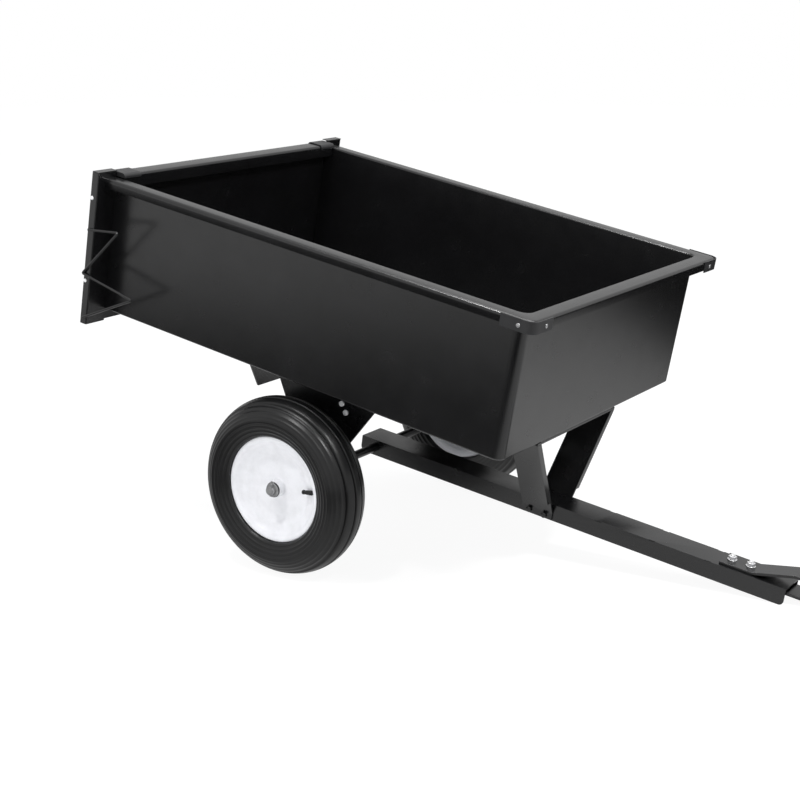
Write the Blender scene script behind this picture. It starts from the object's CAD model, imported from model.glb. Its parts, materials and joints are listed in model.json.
import json
import math

import bmesh
import bpy
from mathutils import Matrix, Vector


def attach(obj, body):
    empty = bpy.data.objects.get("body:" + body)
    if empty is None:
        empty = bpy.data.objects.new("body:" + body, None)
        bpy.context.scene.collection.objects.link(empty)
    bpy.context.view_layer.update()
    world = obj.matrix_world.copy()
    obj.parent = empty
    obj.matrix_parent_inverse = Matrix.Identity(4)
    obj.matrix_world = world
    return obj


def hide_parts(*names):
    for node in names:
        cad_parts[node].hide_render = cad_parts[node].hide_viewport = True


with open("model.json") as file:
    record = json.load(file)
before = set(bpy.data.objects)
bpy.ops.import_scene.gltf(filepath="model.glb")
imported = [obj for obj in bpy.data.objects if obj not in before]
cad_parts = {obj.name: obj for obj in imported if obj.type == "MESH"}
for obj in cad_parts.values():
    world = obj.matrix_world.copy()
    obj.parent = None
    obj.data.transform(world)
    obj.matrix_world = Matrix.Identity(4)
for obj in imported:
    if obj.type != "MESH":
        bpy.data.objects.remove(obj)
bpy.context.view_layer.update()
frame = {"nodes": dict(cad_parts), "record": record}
nodes = frame["nodes"]

# Sizes in millimetres, in the frames the cart is drawn in: the bed at rest, the drawbar at rest
# and a wheel seen along the axle. Every piece is brought into the shared frame in metres.
MM = 0.001
WHEEL_R = 200.0
SHIFT = -292.01120258481313
BAR_PITCH = math.radians(10.22948745323258)
BED_PITCH = BAR_PITCH + math.radians(1.66)
BED = Matrix.Translation((SHIFT, 0, WHEEL_R)) @ Matrix.Rotation(BED_PITCH, 4, "Y")
BAR = Matrix.Translation((SHIFT, 0, WHEEL_R)) @ Matrix.Rotation(BAR_PITCH, 4, "Y")
WHEEL_MID = 385.5
BED_FRONT, BED_REAR, BED_HALF = 514.0, -556.0, 400.0
BED_LOW, RIM_TOP, RIM_HALF = 243.0, 555.0, 437.0
CORNER_R, RIM_CORNER, SHEET = 22.0, 20.0, 2.0
POST_EDGE, POST_REAR, POST_LOW, POST_TOP = 457.0, -574.0, 215.0, 567.0
AXLE_BARE = 0.43
SIDES = (("left", 1), ("right", -1))


def wheel_frame(side):
    spin = Matrix.Rotation(math.radians(-90 * side), 4, "X")
    return Matrix.Translation((SHIFT, side * WHEEL_MID, WHEEL_R)) @ spin


def mirrored(side):
    return Matrix.Diagonal((1, side, 1, 1))


# Materials: every one is made of shader nodes in object coordinates, so that it stays on its piece.
def shader(name, roughness, metallic=0.0, specular=0.5):
    mat = bpy.data.materials.new(name)
    mat.use_nodes = True
    tree = mat.node_tree
    bsdf = tree.nodes["Principled BSDF"]
    bsdf.inputs["Roughness"].default_value = roughness
    bsdf.inputs["Metallic"].default_value = metallic
    bsdf.inputs["Specular IOR Level"].default_value = specular
    coords = tree.nodes.new("ShaderNodeTexCoord").outputs["Object"]
    return mat, tree, bsdf, coords


def noise(tree, coords, scale, detail=3.0, rough=0.5):
    node = tree.nodes.new("ShaderNodeTexNoise")
    node.inputs["Scale"].default_value = scale
    node.inputs["Detail"].default_value = detail
    node.inputs["Roughness"].default_value = rough
    tree.links.new(coords, node.inputs["Vector"])
    return node.outputs["Fac"]


def stretched(tree, coords, scale):
    node = tree.nodes.new("ShaderNodeMapping")
    node.inputs["Scale"].default_value = scale
    tree.links.new(coords, node.inputs["Vector"])
    return node.outputs["Vector"]


def ramp(tree, value, stops):
    node = tree.nodes.new("ShaderNodeValToRGB")
    marks = node.color_ramp.elements
    while len(marks) < len(stops):
        marks.new(0.5)
    for mark, (place, colour) in zip(marks, stops):
        mark.position = place
        mark.color = (*colour, 1) if len(colour) == 3 else colour
    tree.links.new(value, node.inputs["Fac"])
    return node.outputs["Color"]


def spread(tree, value, low, high):
    node = tree.nodes.new("ShaderNodeMapRange")
    node.inputs["To Min"].default_value = low
    node.inputs["To Max"].default_value = high
    tree.links.new(value, node.inputs["Value"])
    return node.outputs["Result"]


def bump(tree, bsdf, layers):
    last = None
    for value, strength, depth in layers:
        node = tree.nodes.new("ShaderNodeBump")
        node.inputs["Strength"].default_value = strength
        node.inputs["Distance"].default_value = depth
        tree.links.new(value, node.inputs["Height"])
        if last is not None:
            tree.links.new(last, node.inputs["Normal"])
        last = node.outputs["Normal"]
    tree.links.new(last, bsdf.inputs["Normal"])


def black_paint(name, wave):
    mat, tree, bsdf, at = shader(name, 0.3, specular=0.75)
    cloud = noise(tree, at, 5.0, 4.0)
    grain = noise(tree, at, 620.0, 2.0)
    sheet = noise(tree, stretched(tree, at, (1.0, 1.0, 1.6)), 3.1, 1.0)
    tone = ramp(tree, cloud, [(0.3, (0.003, 0.003, 0.0033)), (0.7, (0.0055, 0.0055, 0.006))])
    tree.links.new(tone, bsdf.inputs["Base Color"])
    tree.links.new(spread(tree, noise(tree, at, 22.0, 5.0), 0.2, 0.31), bsdf.inputs["Roughness"])
    bump(tree, bsdf, [(sheet, wave, 0.01), (grain, 0.045, 0.0006)])
    return mat


def white_paint():
    mat, tree, bsdf, at = shader("wheel_white_paint", 0.35)
    stain = noise(tree, at, 34.0, 6.0, 0.65)
    tone = ramp(tree, stain, [(0.3, (0.8, 0.8, 0.82)), (0.6, (0.88, 0.88, 0.905))])
    tree.links.new(tone, bsdf.inputs["Base Color"])
    tree.links.new(spread(tree, noise(tree, at, 60.0), 0.26, 0.44), bsdf.inputs["Roughness"])
    bump(tree, bsdf, [(noise(tree, at, 700.0, 2.0), 0.05, 0.0005)])
    return mat


def tyre_rubber():
    mat, tree, bsdf, at = shader("tyre_rubber", 0.6)
    dust = noise(tree, at, 26.0, 6.0, 0.6)
    tone = ramp(tree, dust, [(0.35, (0.0035, 0.0035, 0.0038)), (0.75, (0.0065, 0.0065, 0.0068))])
    tree.links.new(tone, bsdf.inputs["Base Color"])
    tree.links.new(spread(tree, noise(tree, at, 80.0, 4.0), 0.27, 0.4), bsdf.inputs["Roughness"])
    bump(tree, bsdf, [(noise(tree, at, 900.0, 3.0), 0.12, 0.0006), (noise(tree, at, 120.0), 0.05, 0.001)])
    return mat


def zinc_plate(name, low, high, metallic):
    mat, tree, bsdf, at = shader(name, 0.35, metallic)
    tint = noise(tree, at, 55.0, 4.0)
    tone = ramp(tree, tint, [(0.3, low), (0.7, high)])
    tree.links.new(tone, bsdf.inputs["Base Color"])
    lines = noise(tree, stretched(tree, at, (1.0, 14.0, 14.0)), 160.0, 3.0)
    tree.links.new(spread(tree, lines, 0.25, 0.46), bsdf.inputs["Roughness"])
    bump(tree, bsdf, [(lines, 0.06, 0.0004)])
    return mat


def moulded(name, low, high, gloss):
    mat, tree, bsdf, at = shader(name, gloss)
    tone = ramp(tree, noise(tree, at, 18.0, 4.0), [(0.3, low), (0.7, high)])
    tree.links.new(tone, bsdf.inputs["Base Color"])
    tree.links.new(spread(tree, noise(tree, at, 200.0), gloss - 0.07, gloss + 0.1), bsdf.inputs["Roughness"])
    bump(tree, bsdf, [(noise(tree, at, 1500.0, 2.0), 0.16, 0.0004)])
    return mat


def axle_finish():
    """Painted bar whose turned ends, past the wheels' hubs, are bare."""
    mat, tree, bsdf, at = shader("axle_painted_bare_ends", 0.35)
    parts = tree.nodes.new("ShaderNodeSeparateXYZ")
    tree.links.new(at, parts.inputs["Vector"])
    off = tree.nodes.new("ShaderNodeMath")
    off.operation = "ABSOLUTE"
    tree.links.new(parts.outputs["Y"], off.inputs[0])
    bare = tree.nodes.new("ShaderNodeMapRange")
    bare.inputs["From Min"].default_value = AXLE_BARE - 0.0015
    bare.inputs["From Max"].default_value = AXLE_BARE
    tree.links.new(off.outputs[0], bare.inputs["Value"])
    bare = bare.outputs["Result"]
    grain = noise(tree, at, 90.0, 4.0)
    steel = ramp(tree, grain, [(0.3, (0.36, 0.36, 0.37)), (0.7, (0.5, 0.5, 0.5))])
    paint = ramp(tree, grain, [(0.3, (0.004, 0.004, 0.0045)), (0.7, (0.008, 0.008, 0.009))])
    mix = tree.nodes.new("ShaderNodeMix")
    mix.data_type = "RGBA"
    sockets = {s.identifier: s for s in list(mix.inputs) + list(mix.outputs)}
    tree.links.new(bare, sockets["Factor_Float"])
    tree.links.new(paint, sockets["A_Color"])
    tree.links.new(steel, sockets["B_Color"])
    tree.links.new(sockets["Result_Color"], bsdf.inputs["Base Color"])
    tree.links.new(spread(tree, bare, 0.0, 0.75), bsdf.inputs["Metallic"])
    bump(tree, bsdf, [(noise(tree, at, 400.0, 2.0), 0.06, 0.0004)])
    return mat


PAINT = black_paint("black_gloss_paint_panel", 0.05)
FRAME_PAINT = black_paint("black_gloss_paint_frame", 0.02)
WHITE = white_paint()
RUBBER = tyre_rubber()
ZINC = zinc_plate("zinc_plate", (0.6, 0.6, 0.62), (0.74, 0.74, 0.73), 0.45)
BRIGHT_ZINC = zinc_plate("bright_zinc", (0.86, 0.86, 0.87), (0.93, 0.93, 0.92), 0.15)
BARE_STEEL = zinc_plate("bare_steel", (0.36, 0.36, 0.37), (0.5, 0.5, 0.5), 0.75)
AXLE = axle_finish()
CAP = moulded("corner_cap_plastic", (0.012, 0.012, 0.013), (0.022, 0.022, 0.023), 0.42)
BUSH = moulded("bush_plastic", (0.028, 0.028, 0.03), (0.05, 0.05, 0.052), 0.5)
VALVE = moulded("valve_rubber", (0.008, 0.008, 0.008), (0.014, 0.014, 0.014), 0.62)
BODY_OF = {n: b for b, ns in frame["record"]["behaviour"]["bodies"].items() for n in ns}


# Mesh code: shapes are collected in millimetres, then made into one piece in metres.
class Shape:
    def __init__(self):
        self.mesh = bmesh.new()

    def strip(self, rings, matrix, closed=True, caps=False):
        rows = [[self.mesh.verts.new((matrix @ Vector(p)) * MM) for p in ring] for ring in rings]
        count = len(rows[0])
        pairs = list(zip(rows, rows[1:])) + ([(rows[-1], rows[0])] if closed else [])
        for a, b in pairs:
            for i in range(count):
                j = (i + 1) % count
                self.mesh.faces.new((a[i], a[j], b[j], b[i]))
        if caps:
            self.mesh.faces.new(rows[0])
            self.mesh.faces.new(rows[-1][::-1])

    def lathe(self, profile, matrix, steps=96):
        rings = []
        for k in range(steps):
            a = 2 * math.pi * k / steps
            rings.append([(r * math.cos(a), r * math.sin(a), z) for r, z in profile])
        self.strip(rings, matrix)

    def prism(self, outline, low, high, place, matrix):
        rings = [[place(u, v, w) for u, v in outline] for w in (low, high)]
        self.strip(rings, matrix, closed=False, caps=True)

    def tube(self, path, radius, matrix, sides=16):
        pts = [Vector(p) for p in path]
        normal = None
        rings = []
        for i, p in enumerate(pts):
            t = (pts[min(i + 1, len(pts) - 1)] - pts[max(i - 1, 0)]).normalized()
            if normal is None:
                normal = t.orthogonal().normalized()
            normal = (normal - t * normal.dot(t)).normalized()
            other = t.cross(normal)
            rings.append([p + (normal * math.cos(a) + other * math.sin(a)) * radius
                          for a in (2 * math.pi * k / sides for k in range(sides))])
        self.strip(rings, matrix, closed=False, caps=True)

    def spindle(self, profile, matrix, sides=32, turn=0.0):
        turns = [turn + 2 * math.pi * k / sides for k in range(sides)]
        rings = [[(r * math.cos(a), r * math.sin(a), z) for a in turns] for r, z in profile]
        self.strip(rings, matrix, closed=False, caps=True)

    def piece(self, name, material, replaced, edge=0.0, angle=35.0):
        bmesh.ops.recalc_face_normals(self.mesh, faces=self.mesh.faces[:])
        data = bpy.data.meshes.new(name)
        self.mesh.to_mesh(data)
        self.mesh.free()
        return finish_piece(name, data, material, replaced, edge, angle)


def finish_piece(name, data, material, replaced, edge, angle):
    data.polygons.foreach_set("use_smooth", [True] * len(data.polygons))
    data.set_sharp_from_angle(angle=math.radians(angle))
    data.materials.clear()
    data.materials.append(material)
    obj = bpy.data.objects.new(name, data)
    bpy.context.scene.collection.objects.link(obj)
    if edge:
        soften = obj.modifiers.new("edges", "BEVEL")
        soften.width = edge * MM
        soften.segments = 2
        soften.limit_method = "ANGLE"
        soften.angle_limit = math.radians(angle)
        soften.harden_normals = True
    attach(obj, BODY_OF[replaced[0]])
    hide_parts(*replaced)
    return obj


def dressed(node, material, edge, angle=35.0):
    """The CAD node's own form with its flat faces joined and its edges eased."""
    mesh = bmesh.new()
    mesh.from_mesh(nodes[node].data)
    bmesh.ops.remove_doubles(mesh, verts=mesh.verts[:], dist=2e-6)
    bmesh.ops.dissolve_limit(mesh, angle_limit=math.radians(0.6), verts=mesh.verts[:], edges=mesh.edges[:])
    bmesh.ops.recalc_face_normals(mesh, faces=mesh.faces[:])
    data = bpy.data.meshes.new(node + "_form")
    mesh.to_mesh(data)
    mesh.free()
    return finish_piece(node + "_form", data, material, [node], edge, angle)


def arc_path(points, radii, steps=7):
    """The polyline with each inner corner rounded; points have two or three coordinates."""
    pts = [Vector(p) for p in points]
    path = [pts[0]]
    for i in range(1, len(pts) - 1):
        r = radii[i - 1] if isinstance(radii, (list, tuple)) else radii
        a, b = (pts[i - 1] - pts[i]).normalized(), (pts[i + 1] - pts[i]).normalized()
        half = a.angle(b) / 2
        back = r / math.tan(half)
        centre = pts[i] + (a + b).normalized() * (r / math.sin(half))
        first, last = pts[i] + a * back - centre, pts[i] + b * back - centre
        whole = first.angle(last)
        for k in range(steps + 1):
            t = k / steps
            swung = first * math.sin((1 - t) * whole) + last * math.sin(t * whole)
            path.append(centre + swung / math.sin(whole))
    path.append(pts[-1])
    return path


def folded(points, radius, thick, steps=7):
    """Outline of a folded sheet whose middle line follows the points."""
    path = arc_path(points, radius, steps)
    left, right = [], []
    for i, p in enumerate(path):
        t = (path[min(i + 1, len(path) - 1)] - path[max(i - 1, 0)]).normalized()
        n = Vector((-t.y, t.x)) * (thick / 2)
        left.append(p + n)
        right.append(p - n)
    return [tuple(p) for p in left + right[::-1]]


def along_x(u, v, w):
    return (w, u, v)


def along_y(u, v, w):
    return (u, w, v)


def along_z(u, v, w):
    return (u, v, w)


def facing(at, direction):
    """A frame whose Z axis points along the direction."""
    turn = Vector((0, 0, 1)).rotation_difference(Vector(direction)).to_matrix().to_4x4()
    return Matrix.Translation(at) @ turn


# Fasteners: each is drawn upward from the seat that its frame stands on.
NUT_EASE, WASHER_EASE = 0.8, 0.4
THREAD_ROOT, THREAD_START, THREAD_TIP = 0.75, 0.9, 1.3
DOME_EDGE, DOME_STEPS, DOME_TOP = 0.22, 6, 0.25


def raised(seat, height):
    return seat @ Matrix.Translation((0, 0, height))


def hex_nut(shape, seat, radius, tall, turn):
    flat = radius - NUT_EASE * 2
    profile = [(flat, 0), (radius, NUT_EASE), (radius, tall - NUT_EASE), (flat, tall)]
    shape.spindle(profile, seat, 6, turn)


def washer(shape, seat, inner, outer, thick):
    edge = outer - WASHER_EASE
    shape.lathe([(inner, 0), (edge, 0), (outer, WASHER_EASE), (outer, thick - WASHER_EASE), (edge, thick),
                 (inner, thick)], seat, 40)


def thread(shape, seat, radius, low, high, pitch):
    root = radius - THREAD_ROOT
    profile = [(radius - THREAD_START, low)]
    z = low
    while z + pitch <= high:
        profile += [(root, z + 0.05 * pitch), (radius, z + 0.5 * pitch), (root, z + 0.95 * pitch)]
        z += pitch
    profile.append((radius - THREAD_TIP, high))
    shape.spindle(profile, seat, 28)


def dome(shape, seat, radius, tall):
    edge = tall * DOME_EDGE
    profile = [(radius, 0.0), (radius, edge)]
    for k in range(1, DOME_STEPS + 1):
        a = math.pi / 2 * k / DOME_STEPS
        profile.append((max(radius * math.cos(a), DOME_TOP), edge + tall * (1 - DOME_EDGE) * math.sin(a)))
    shape.spindle(profile, seat, 36)


# Bed panels: folded sheet with rounded bends.
FOLD, ROLL_FOLD, LIP_LEAN = 4.0, 6.0, 5.0
FLOOR_LAP, RIM_OUT, LIP_DROP = 16.0, 36.0, 22.0
RIM_REACH = RIM_HALF - BED_HALF
BLEND_START, BLEND_RUN = 4.0, 27.0
CORNER_STEPS = 36
POST_FOLD, APART = 2.6, 0.01


def panel_section(lean):
    """The sheet from under the floor up the wall, out over the rim and down its lip."""
    mid = SHEET / 2
    floor, rim = BED_LOW + mid, RIM_TOP - mid
    path = [(-FLOOR_LAP, floor), (-mid, floor), (-mid, rim), (RIM_OUT, rim),
            (RIM_OUT - lean, RIM_TOP - LIP_DROP)]
    return folded(path, [FOLD, FOLD, ROLL_FOLD], SHEET)


def side_panel(word, side):
    shape = Shape()
    outline = [(BED_HALF + u, v) for u, v in panel_section(LIP_LEAN)]
    shape.prism(outline, BED_REAR, BED_FRONT - CORNER_R, along_x, BED @ mirrored(side))
    shape.piece("side_panel_" + word, PAINT, ["tub_side_" + word], 0.5)


def rim_edge(t):
    """Point and outward direction on the rim's outer edge round a front corner, t from side to front."""
    lead = RIM_HALF - RIM_CORNER - (BED_HALF - CORNER_R)
    turn = math.pi / 2 * RIM_CORNER
    run = t * (2 * lead + turn)
    cx, cy = BED_FRONT + RIM_REACH - RIM_CORNER, RIM_HALF - RIM_CORNER
    if run <= lead:
        return (cx - lead + run, RIM_HALF), (0.0, 1.0)
    if run >= lead + turn:
        return (BED_FRONT + RIM_REACH, cy - (run - lead - turn)), (1.0, 0.0)
    a = math.pi / 2 - (run - lead) / RIM_CORNER
    return (cx + RIM_CORNER * math.cos(a), cy + RIM_CORNER * math.sin(a)), (math.cos(a), math.sin(a))


def corner_ring(t, side):
    """The panel's section at t round a front corner: on the wall's corner low, on the rim's edge high."""
    a = math.pi / 2 * (1 - t)
    wall = (math.cos(a), math.sin(a))
    foot = (BED_FRONT - CORNER_R + CORNER_R * wall[0], BED_HALF - CORNER_R + CORNER_R * wall[1])
    edge, out = rim_edge(t)
    ring = []
    for u, v in panel_section(LIP_LEAN * (1 - t)):
        share = min(max((u - BLEND_START) / BLEND_RUN, 0), 1)
        x, y = [(1 - share) * (foot[k] + wall[k] * u) + share * (edge[k] + out[k] * (u - RIM_REACH))
                for k in (0, 1)]
        ring.append((x, side * y, v))
    return ring


def front_panel():
    shape = Shape()
    rings = [corner_ring(k / CORNER_STEPS, 1) for k in range(CORNER_STEPS + 1)]
    rings += [corner_ring(1 - k / CORNER_STEPS, -1) for k in range(CORNER_STEPS + 1)]
    shape.strip(rings, BED, closed=False, caps=True)
    shape.piece("front_panel", PAINT, ["tub_front"], 0.5)


def rear_post(word, side):
    shape = Shape()
    mid, at = SHEET / 2, BED @ mirrored(side)
    inner, front, outer = BED_HALF - SHEET, BED_REAR - SHEET, POST_EDGE - SHEET
    line = [(BED_REAR - mid, inner), (BED_REAR - mid, POST_EDGE - mid), (POST_REAR, POST_EDGE - mid)]
    shape.prism(folded(line, POST_FOLD, SHEET), POST_LOW + APART, POST_TOP, along_z, at)
    foot = [(POST_REAR, inner), (front, inner), (front, outer), (POST_REAR, outer)]
    shape.prism(foot, POST_LOW, POST_LOW + SHEET, along_z, at)
    shape.piece("rear_post_sheet_" + word, FRAME_PAINT, ["rear_post_" + word], 0.4)


RAIL_LOW, RAIL_TOP, RAIL_HALF, RAIL_FOLD = 533.3, 563.3, 20.0, 5.0
RAIL_END, PANEL_X = 393.7, -559.5
CAP_OUT, CAP_LENGTH, CAP_WALL, CAP_DROP, CAP_GAP = 396.5, 54.0, 2.5, 8.0, 0.3
CAP_FOLD, CAP_LAP = RAIL_FOLD + 1.5, 0.1
CAP_CORNERS = [0.5, CAP_FOLD + 1.2, CAP_FOLD + 1.2, 0.5]


def tailgate_rail():
    shape = Shape()
    mid = SHEET / 2
    back, front, top = BED_REAR - RAIL_HALF + mid, BED_REAR + RAIL_HALF - mid, RAIL_TOP - mid
    outline = folded([(back, RAIL_LOW), (back, top), (front, top), (front, RAIL_LOW)], RAIL_FOLD, SHEET)
    shape.prism(outline, -RAIL_END, RAIL_END, along_y, BED)
    shape.piece("tailgate_top_rail", PAINT, ["tailgate_rail"], 0.4)


def rail_cap(word, side):
    """Cover over the rail's end: a folded skirt, and two end walls beside the slot for the panel."""
    shape = Shape()
    half, mid = RAIL_HALF + CAP_GAP + CAP_WALL, CAP_WALL / 2
    low, top = RAIL_TOP - CAP_DROP, RAIL_TOP + CAP_GAP + CAP_WALL
    back, front = BED_REAR - half, BED_REAR + half
    skirt = [(back + mid, low), (back + mid, top - mid), (front - mid, top - mid), (front - mid, low)]
    at = BED @ mirrored(side)
    end = CAP_OUT - CAP_WALL
    shape.prism(folded(skirt, CAP_FOLD, CAP_WALL), CAP_OUT - CAP_LENGTH, end + CAP_LAP, along_y, at)
    slot_back, slot_front = PANEL_X - SHEET - CAP_GAP, PANEL_X + CAP_GAP
    slot_top = RAIL_TOP - SHEET + CAP_GAP
    corners = [(slot_front, low), (front, low), (front, top), (back, top), (back, low), (slot_back, low)]
    outline = [tuple(p) for p in arc_path(corners, CAP_CORNERS)]
    shape.prism(outline + [(slot_back, slot_top), (slot_front, slot_top)], end, CAP_OUT, along_y, at)
    shape.piece("rail_end_cover_" + word, CAP, ["rail_cap_" + word], 0.6)


WIRE_PLANE, WIRE_IN, WIRE_R = POST_EDGE + 3.3, POST_EDGE - 2.0, 3.0
WIRE_POINTS = [(-570, WIRE_IN, 436), (-570, WIRE_PLANE, 436), (-480, WIRE_PLANE, 453),
               (-576, WIRE_PLANE, 333), (-423, WIRE_PLANE, 313), (-566, WIRE_PLANE, 230),
               (-566, WIRE_IN, 230)]
WIRE_BENDS = [2.6, 2.2, 2.2, 2.2, 2.6]


def zigzag(word, side):
    shape = Shape()
    shape.tube(arc_path(WIRE_POINTS, WIRE_BENDS, 8), WIRE_R, BED @ mirrored(side), 18)
    shape.piece("zigzag_wire_" + word, FRAME_PAINT, ["wire_retainer_" + word])


# Wheels: sections as (radius, distance along the axle) from the wheel's middle.
CROWN_R, WALL_R, WALL_MID, TYRE_HALF = 64.0, 70.0, 159.5, 60.0
WALL_START, SHOULDER_R, SHOULDER_Z, TREAD_Z = 121.5, 158.5, 59.4, 37.6
RIB_START, RIB_PITCH, RIB_DEPTH, RIB_ROUND = 124.0, 8.5, 0.9, 0.7
WALL_STEPS, SHOULDER_STEPS = 40, 24
# A groove's marks: where the crown is taken, how far along and how deep, all from the groove's middle.
GROOVES, LANDS = (33.0, 11.0), (5.5, 8.0, 10.9)
GROOVE = [(2.9, 2.9, 0.0), (2.5, 2.4, 0.6), (0.0, 1.6, 3.6), (0.0, 0.0, 4.0), (0.0, -1.6, 3.6),
          (-2.5, -2.4, 0.6), (-2.9, -2.9, 0.0)]
TYRE_SIDES, RIM_SIDES, DISC_SIDES, HUB_SIDES, VALVE_SIDES = 216, 160, 144, 72, 28
BEAD = [(104.6, 22.0), (105.0, 29.6), (107.9, 33.9), (112.8, 36.8), (117.9, 38.2), (119.5, 39.4),
        (119.8, 41.5), (119.8, 46.2)]
RIM_LOOP = [(119.0, 39.6), (118.2, 41.3), (116.2, 41.6), (111.5, 40.2), (106.2, 37.6), (103.0, 34.6),
            (101.4, 30.6), (101.0, 26.0), (101.0, 0.0), (101.0, -30.6), (103.0, -34.6), (106.2, -37.6),
            (111.5, -40.2), (116.2, -41.6), (118.2, -41.3), (119.0, -39.6), (117.6, -38.6), (112.5, -37.2),
            (107.4, -34.4), (104.4, -30.0), (104.0, -22.0), (104.0, 0.0), (104.0, 22.0), (104.4, 30.0),
            (107.4, 34.4), (112.5, 37.2), (117.6, 38.6)]
DISC_FACE = [(19.4, 24.5), (20.2, 22.4), (22.5, 21.2), (26, 21.0), (58, 21.0), (61, 20.6), (64, 20.0),
             (72, 20.0), (75.5, 21.0), (79, 23.6), (83, 26.0), (86.5, 27.0), (92, 27.6), (96.5, 29.0),
             (100.4, 32.0), (103.4, 35.0), (105.2, 36.9), (103.4, 32.6), (102.0, 28.0), (101.8, 24.0),
             (101.3, 11.0)]
DISC_BACK = [(98.0, 11.0), (97.8, 22.0), (96.0, 23.6), (87, 24.0), (84.5, 23.2), (80, 20.4), (76.5, 18.0),
             (72, 17.0), (64, 17.0), (61, 17.6), (58, 18.0), (22, 18.0), (19.4, 18.0)]
HUB_LOOP = [(14.1, -45.2), (14.9, -46.0), (18.2, -46.0), (19.0, -45.2), (19.0, 39.2), (18.2, 40.0),
            (14.9, 40.0), (14.1, 39.2)]
VALVE_STEM = [(4.2, 74.8), (4.9, 75.6), (4.9, 79.4), (4.2, 80.2), (3.6, 80.6), (3.6, 82.0), (4.4, 82.6),
              (4.9, 86.0), (5.4, 95.0), (5.4, 99.6), (3.7, 100.4), (3.7, 103.8)]
VALVE_TURN, VALVE_Z = -3.0, 33.5


def crown(z):
    return WHEEL_R - CROWN_R + math.sqrt(CROWN_R ** 2 - z ** 2)


def wall(r):
    return TYRE_HALF - WALL_R + math.sqrt(WALL_R ** 2 - (r - WALL_MID) ** 2)


def rib(r):
    wave = math.cos(2 * math.pi * (r - RIB_START) / RIB_PITCH)
    return RIB_DEPTH * max(wave, 0) ** RIB_ROUND - RIB_DEPTH


def tyre_profile():
    toe = WALL_START - 0.9
    half = BEAD + [(toe, wall(toe) - RIB_DEPTH)]
    for k in range(1, WALL_STEPS + 1):
        r = WALL_START + (SHOULDER_R - WALL_START) * k / WALL_STEPS
        half.append((r, wall(r) + rib(r)))
    for k in range(1, SHOULDER_STEPS + 1):
        z = SHOULDER_Z + (TREAD_Z - SHOULDER_Z) * k / SHOULDER_STEPS
        r = crown(z)
        sunk = rib(r) / CROWN_R
        half.append((r + sunk * (r - WHEEL_R + CROWN_R), z + sunk * z))
    for g in GROOVES:
        half += [(crown(g + at) - deep, g + along) for at, along, deep in GROOVE]
        half += [(crown(g - land), g - land) for land in LANDS]
    return half + [(r, -z) for r, z in half[::-1]]


def tyre(word, side):
    shape = Shape()
    shape.lathe(tyre_profile(), wheel_frame(side), TYRE_SIDES)
    shape.piece("ribbed_tyre_" + word, RUBBER, ["tyre_" + word], angle=50)


def wheel_rim(word, side):
    shape = Shape()
    shape.lathe(RIM_LOOP, wheel_frame(side), RIM_SIDES)
    shape.piece("rolled_rim_" + word, WHITE, ["rim_" + word], angle=60)


def wheel_disc(word, side):
    shape = Shape()
    shape.lathe(DISC_FACE + DISC_BACK, wheel_frame(side), DISC_SIDES)
    shape.piece("dished_disc_" + word, WHITE, ["disc_" + word], angle=50)


def wheel_hub(word, side):
    shape = Shape()
    shape.lathe(HUB_LOOP, wheel_frame(side), HUB_SIDES)
    shape.piece("hub_tube_" + word, WHITE, ["hub_" + word])


def wheel_valve(word, side):
    shape = Shape()
    turned = Matrix.Rotation(math.radians(VALVE_TURN * side), 4, "Z") @ Matrix.Translation((0, 0, VALVE_Z))
    along = wheel_frame(side) @ turned @ Matrix.Rotation(math.radians(90), 4, "Y")
    shape.spindle(VALVE_STEM, along, VALVE_SIDES)
    shape.piece("valve_stem_" + word, VALVE, ["valve_" + word])


# Fastener groups. Washers are (bore, outer radius, thickness), nuts and heads (corner radius, height, turn),
# threads (radius, start, end, pitch), domes (radius, height) and shanks (radius, reach).
HITCH_BOLT_X, HITCH_TOP, HITCH_UNDER = (894.0, 936.0), 25.0, 10.0
HITCH_WASHER, HITCH_NUT, HITCH_HEAD = (5.2, 10.4, 1.6), (9.0, 7.2, 0.35), (9.0, 6.0, 0.2)
HITCH_THREAD, HITCH_SHANK = (5.0, 8.0, 12.0, 1.3), (4.9, 17.0)
BRACE_AT, BRACE_TILT, BRACE_ENDS, BRACE_OUT, BRACE_IN = (70.5, 0, 187.0), 50.0, (-10.7, 10.7), 304.0, 296.0
BRACE_WASHER, BRACE_HEAD, BRACE_NUT = (4.1, 6.3, 0.9), (6.3, 3.1, 0.4), (6.3, 5.0, 0.1)
BRACE_THREAD = (4.0, 5.0, 8.0, 1.1)
BRACKET_BOLT_X, BRACKET_BOLT_Y = (-110, 10, 140), 283.0
MEMBER_BOLT_X, MEMBER_BOLT_Y = -196.0, (-200, 0, 200)
FLOOR_TOP, FLOOR_UNDER, FLOOR_DOME = 247.0, 241.0, (8.8, 2.5)
FLOOR_WASHER, FLOOR_NUT, FLOOR_THREAD = (4.1, 6.7, 0.9), (6.7, 5.1, 0.3), (4.0, 6.0, 9.0, 1.1)
CAP_SCREWS = (((519.0, 439.8, 541.0), (0, 1, 0)), ((553.8, 390.0, 541.0), (1, 0, 0)))
SCREW_DOME = (4.5, 2.0)
RIVET_X, RIVET_Z, RIVET_GRIP = -569.5, (317.0, 509.0), 4.0
RIVET_DOME, RIVET_TAIL = (4.5, 1.5), (3.3, 2.0)
STAND_BOLT_X, STAND_MID, STAND_FACE, STAND_LEVEL = (427.25, 465.75), 446.5, 41.5, 9.5
STAND_NUT, STAND_SHANK = (7.0, 5.0, 0.25), (3.9, 41.0)
PIN_Y, PIN_LOW, PIN_HIGH, PIN_R = WHEEL_MID + 48.5, -14.0, 14.5, 1.75
PIN_EYE, PIN_RING, PIN_WIRE, PIN_STEPS = 17.6, 3.4, 1.5, 24


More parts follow.
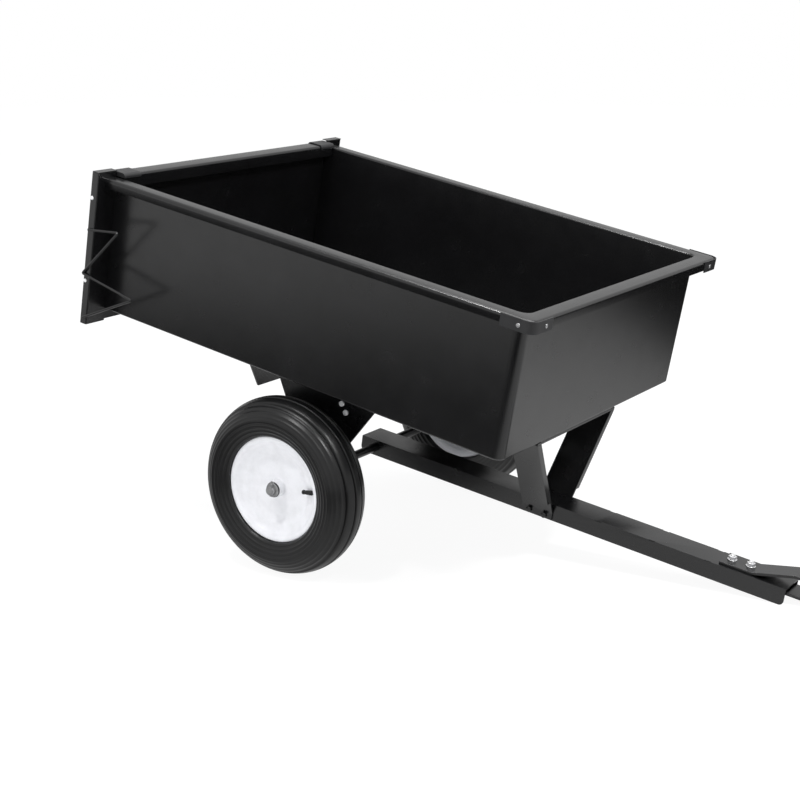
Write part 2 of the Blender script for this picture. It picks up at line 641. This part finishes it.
def hitch_bolts():
    shape = Shape()
    for x in HITCH_BOLT_X:
        top = BAR @ Matrix.Translation((x, 0, HITCH_TOP))
        washer(shape, top, *HITCH_WASHER)
        hex_nut(shape, raised(top, HITCH_WASHER[2]), *HITCH_NUT)
        thread(shape, top, *HITCH_THREAD)
        low = BAR @ Matrix.Translation((x, 0, HITCH_UNDER)) @ Matrix.Rotation(math.pi, 4, "X")
        hex_nut(shape, low, *HITCH_HEAD)
        radius, reach = HITCH_SHANK
        shape.spindle([(radius, 0), (radius, -reach)], low, 24)
    shape.piece("hitch_bolts_and_nuts", ZINC, ["hitch_bolts"])


def brace_bolts():
    shape = Shape()
    tilt = Matrix.Rotation(math.radians(BRACE_TILT), 4, "Y")
    for _, side in SIDES:
        base = BED @ mirrored(side) @ Matrix.Translation(BRACE_AT) @ tilt
        for end in BRACE_ENDS:
            out = base @ facing((end, BRACE_OUT, 0), (0, 1, 0))
            washer(shape, out, *BRACE_WASHER)
            hex_nut(shape, raised(out, BRACE_WASHER[2]), *BRACE_HEAD)
            into = base @ facing((end, BRACE_IN, 0), (0, -1, 0))
            hex_nut(shape, into, *BRACE_NUT)
            thread(shape, into, *BRACE_THREAD)
    shape.piece("brace_bolts_and_nuts", BRIGHT_ZINC, ["brace_bolts"])


def floor_bolts():
    shape = Shape()
    spots = [(x, s * BRACKET_BOLT_Y) for s in (-1, 1) for x in BRACKET_BOLT_X]
    spots += [(MEMBER_BOLT_X, y) for y in MEMBER_BOLT_Y]
    for x, y in spots:
        dome(shape, BED @ Matrix.Translation((x, y, FLOOR_TOP)), *FLOOR_DOME)
        low = BED @ Matrix.Translation((x, y, FLOOR_UNDER)) @ Matrix.Rotation(math.pi, 4, "X")
        washer(shape, low, *FLOOR_WASHER)
        hex_nut(shape, raised(low, FLOOR_WASHER[2]), *FLOOR_NUT)
        thread(shape, low, *FLOOR_THREAD)
    shape.piece("carriage_bolts", FRAME_PAINT, ["floor_bolts"])


def cap_screws():
    shape = Shape()
    for _, side in SIDES:
        for at, way in CAP_SCREWS:
            dome(shape, BED @ mirrored(side) @ facing(at, way), *SCREW_DOME)
    shape.piece("cap_screw_heads", BARE_STEEL, ["cap_screws"])


def guide_rivets():
    shape = Shape()
    for _, side in SIDES:
        for z in RIVET_Z:
            out = BED @ mirrored(side) @ facing((RIVET_X, POST_EDGE, z), (0, 1, 0))
            dome(shape, out, *RIVET_DOME)
            into = BED @ mirrored(side) @ facing((RIVET_X, POST_EDGE - RIVET_GRIP, z), (0, -1, 0))
            dome(shape, into, *RIVET_TAIL)
    shape.piece("guide_rivet_heads", BRIGHT_ZINC, ["guide_rivets"])


def stand_bolts():
    shape = Shape()
    level = STAND_MID * math.tan(BED_PITCH - BAR_PITCH) - STAND_LEVEL
    radius, reach = STAND_SHANK
    for x in STAND_BOLT_X:
        for _, side in SIDES:
            out = BED @ mirrored(side) @ facing((x, STAND_FACE, level), (0, 1, 0))
            hex_nut(shape, out, *STAND_NUT)
        shape.tube([(x, -reach, level), (x, reach, level)], radius, BED, 20)
    shape.piece("stand_bolts_and_nuts", FRAME_PAINT, ["stand_bolts"])


def cotters():
    shape = Shape()
    turns = [2 * math.pi * k / PIN_STEPS for k in range(PIN_STEPS + 1)]
    ring = [(PIN_RING * math.sin(a), PIN_Y, PIN_EYE - PIN_RING * math.cos(a)) for a in turns]
    for _, side in SIDES:
        shape.tube([(0, PIN_Y, PIN_LOW), (0, PIN_Y, PIN_HIGH)], PIN_R, BED @ mirrored(side), 14)
        shape.tube(ring, PIN_WIRE, BED @ mirrored(side), 12)
    shape.piece("split_pins", BARE_STEEL, ["cotter_pins"])


for word, side in SIDES:
    side_panel(word, side)
    rear_post(word, side)
    zigzag(word, side)
    rail_cap(word, side)
    tyre(word, side)
    wheel_rim(word, side)
    wheel_disc(word, side)
    wheel_hub(word, side)
    wheel_valve(word, side)
front_panel()
tailgate_rail()
hitch_bolts()
brace_bolts()
floor_bolts()
cap_screws()
guide_rivets()
stand_bolts()
cotters()

# CAD nodes that keep their own form, with how far their edges are eased.
FRAME_EDGES = {"drawbar": 1.1, "stand_leg_left": 0.9, "stand_leg_right": 0.9, "stand_rest_plate": 1.0,
               "hitch_upper_plate": 0.9, "hitch_lower_plate": 0.9, "guide_left": 0.4, "guide_right": 0.4,
               "axle_bracket_left": 0.8, "axle_bracket_right": 0.8, "cross_brace": 0.8,
               "rear_cross_member": 0.8, "front_cross_member": 0.7, "axle_spacers": 0.8}
PANEL_EDGE, CAP_EDGE, STEEL_EDGE, BUSH_EDGE = 0.4, 0.8, 0.5, 0.4
STEEL = {"axle": AXLE, "axle_washers": BARE_STEEL, "latch_pin": ZINC, "latch_lever": ZINC}
for node, edge in FRAME_EDGES.items():
    dressed(node, FRAME_PAINT, edge)
for node in ("tub_floor", "tailgate_panel"):
    dressed(node, PAINT, PANEL_EDGE)
for node in ("front_cap_left", "front_cap_right"):
    dressed(node, CAP, CAP_EDGE)
for node, material in STEEL.items():
    dressed(node, material, STEEL_EDGE)
for node in ("bushes_left", "bushes_right"):
    dressed(node, BUSH, BUSH_EDGE)

# Camera at the photograph's angle: found in the bed's frame, in metres from the axle. Angles are in radians,
# the focal length and the picture's centre in pixels.
AZ, EL, ROLL = 0.5397, 0.3587, 0.1594
CAMERA_AT = (0.0323, 0.0903, 3.8319)
PICTURE, FOCAL, CENTRE_X, CENTRE_Y, SENSOR = 800, 1606.25, 397.15, 405.68, 36.0
back = Vector((math.sin(AZ) * math.cos(EL), -math.cos(AZ) * math.cos(EL), math.sin(EL)))
right = Vector((math.cos(AZ), math.sin(AZ), 0))
up = back.cross(right)
right, up = right * math.cos(ROLL) + up * math.sin(ROLL), up * math.cos(ROLL) - right * math.sin(ROLL)
spot = right * CAMERA_AT[0] + up * CAMERA_AT[1] + back * CAMERA_AT[2]
turn = Matrix.Rotation(BED_PITCH, 3, "Y")
cam_data = bpy.data.cameras.new("camera")
cam_data.sensor_width = SENSOR
cam_data.lens = FOCAL / PICTURE * SENSOR
cam_data.shift_x = (PICTURE / 2 - CENTRE_X) / PICTURE
cam_data.shift_y = (CENTRE_Y - PICTURE / 2) / PICTURE
cam = bpy.data.objects.new("camera", cam_data)
axes = Matrix((turn @ right, turn @ up, turn @ back)).transposed().to_4x4()
cam.matrix_world = Matrix.Translation(turn @ spot + Vector((SHIFT * MM, 0, WHEEL_R * MM))) @ axes
bpy.context.scene.collection.objects.link(cam)
bpy.context.scene.camera = cam


# Stage: a wide pale floor, white to the camera, that keeps the cart's shadow. In the paint it is seen as
# a studio floor is: pale under the cart and in the lamps' pools, darker between and beyond them.
# Each pool mark is a place along Y in metres and how pale the floor is there.
POOLS = [(-6.0, 0.92), (-4.3, 0.88), (-3.2, 0.84), (-2.4, 0.84), (-2.08, 0.55), (-1.82, 0.12), (-1.6, 0.03),
         (-1.05, 0.02), (-0.7, 0.63), (0.4, 0.74), (1.05, 0.5), (1.3, 0.32), (1.46, 0.06), (1.7, 0.015),
         (3.0, 0.01)]
FLOOR_HALF, FLOOR_WHITE, FLOOR_SHARE = 14.0, 1.09, 0.85
SKY = ((None, (0.95, 0.97, 1.0, 1), 0.6), ("Is Glossy Ray", (1, 1, 1, 1), 0.7),
       ("Is Transmission Ray", (1, 1, 1, 1), 0.7), ("Is Camera Ray", (1, 1, 1, 1), 1.0))


def stage_floor():
    data = bpy.data.meshes.new("floor")
    h = FLOOR_HALF
    data.from_pydata([(-h, -h, 0), (h, -h, 0), (h, h, 0), (-h, h, 0)], [], [(0, 1, 2, 3)])
    floor = bpy.data.objects.new("floor", data)
    bpy.context.scene.collection.objects.link(floor)
    mat = bpy.data.materials.new("floor_white")
    mat.use_nodes = True
    tree = mat.node_tree
    tree.nodes.clear()
    out = tree.nodes.new("ShaderNodeOutputMaterial")
    matte = tree.nodes.new("ShaderNodeBsdfDiffuse")
    matte.inputs["Color"].default_value = (0.9, 0.9, 0.9, 1)
    white = tree.nodes.new("ShaderNodeEmission")
    white.inputs["Strength"].default_value = FLOOR_WHITE
    path = tree.nodes.new("ShaderNodeLightPath")
    share = tree.nodes.new("ShaderNodeMath")
    share.operation = "MULTIPLY"
    share.inputs[1].default_value = FLOOR_SHARE
    tree.links.new(path.outputs["Is Camera Ray"], share.inputs[0])
    seen = tree.nodes.new("ShaderNodeMixShader")
    tree.links.new(share.outputs[0], seen.inputs["Fac"])
    tree.links.new(matte.outputs[0], seen.inputs[1])
    tree.links.new(white.outputs[0], seen.inputs[2])
    coords = tree.nodes.new("ShaderNodeTexCoord")
    parts = tree.nodes.new("ShaderNodeSeparateXYZ")
    tree.links.new(coords.outputs["Object"], parts.inputs["Vector"])
    first, last = POOLS[0][0], POOLS[-1][0]
    place = tree.nodes.new("ShaderNodeMapRange")
    place.inputs["From Min"].default_value = first
    place.inputs["From Max"].default_value = last
    tree.links.new(parts.outputs["Y"], place.inputs["Value"])
    stops = [((y - first) / (last - first), (v, v, v)) for y, v in POOLS]
    shade = ramp(tree, place.outputs["Result"], stops)
    mirrored_floor = tree.nodes.new("ShaderNodeEmission")
    tree.links.new(shade, mirrored_floor.inputs["Color"])
    rays = tree.nodes.new("ShaderNodeMath")
    rays.operation = "MAXIMUM"
    tree.links.new(path.outputs["Is Glossy Ray"], rays.inputs[0])
    tree.links.new(path.outputs["Is Transmission Ray"], rays.inputs[1])
    mix = tree.nodes.new("ShaderNodeMixShader")
    tree.links.new(rays.outputs[0], mix.inputs["Fac"])
    tree.links.new(seen.outputs[0], mix.inputs[1])
    tree.links.new(mirrored_floor.outputs[0], mix.inputs[2])
    tree.links.new(mix.outputs[0], out.inputs["Surface"])
    data.materials.append(mat)


def studio_world():
    world = bpy.data.worlds.new("studio")
    bpy.context.scene.world = world
    world.use_nodes = True
    tree = world.node_tree
    tree.nodes.clear()
    out = tree.nodes.new("ShaderNodeOutputWorld")
    path = tree.nodes.new("ShaderNodeLightPath")
    last = None
    for ray, colour, strength in SKY:
        sky = tree.nodes.new("ShaderNodeBackground")
        sky.inputs["Color"].default_value = colour
        sky.inputs["Strength"].default_value = strength
        if ray is None:
            last = sky.outputs[0]
            continue
        mix = tree.nodes.new("ShaderNodeMixShader")
        tree.links.new(path.outputs[ray], mix.inputs["Fac"])
        tree.links.new(last, mix.inputs[1])
        tree.links.new(sky.outputs[0], mix.inputs[2])
        last = mix.outputs[0]
    tree.links.new(last, out.inputs["Surface"])


def lamp(name, at, target, size, power):
    data = bpy.data.lights.new(name, "AREA")
    data.shape = "DISK"
    data.size = size
    data.energy = power
    obj = bpy.data.objects.new(name, data)
    obj.location = at
    obj.rotation_mode = "QUATERNION"
    obj.rotation_quaternion = (Vector(target) - Vector(at)).to_track_quat("-Z", "Y")
    bpy.context.scene.collection.objects.link(obj)
    return obj


# Lamps: place, aim and width in metres, power in watts. The two small ones give the tyre its streaks, and
# the key is left out of what gloss surfaces mirror.
stage_floor()
studio_world()
lamp("key", (-1.6, -3.2, 4.2), (-0.2, 0, 0.3), 2.6, 40).visible_glossy = False
lamp("top", (0.3, 0.6, 4.6), (-0.1, 0, 0.4), 3.2, 90)
lamp("streak", (1.7, -0.55, 2.55), (-0.29, -0.4, 0.3), 0.5, 50)
lamp("streak_rear", (-0.35, -1.5, 2.9), (-0.29, -0.4, 0.3), 0.33, 24)
bpy.context.scene.view_settings.view_transform = "Standard"
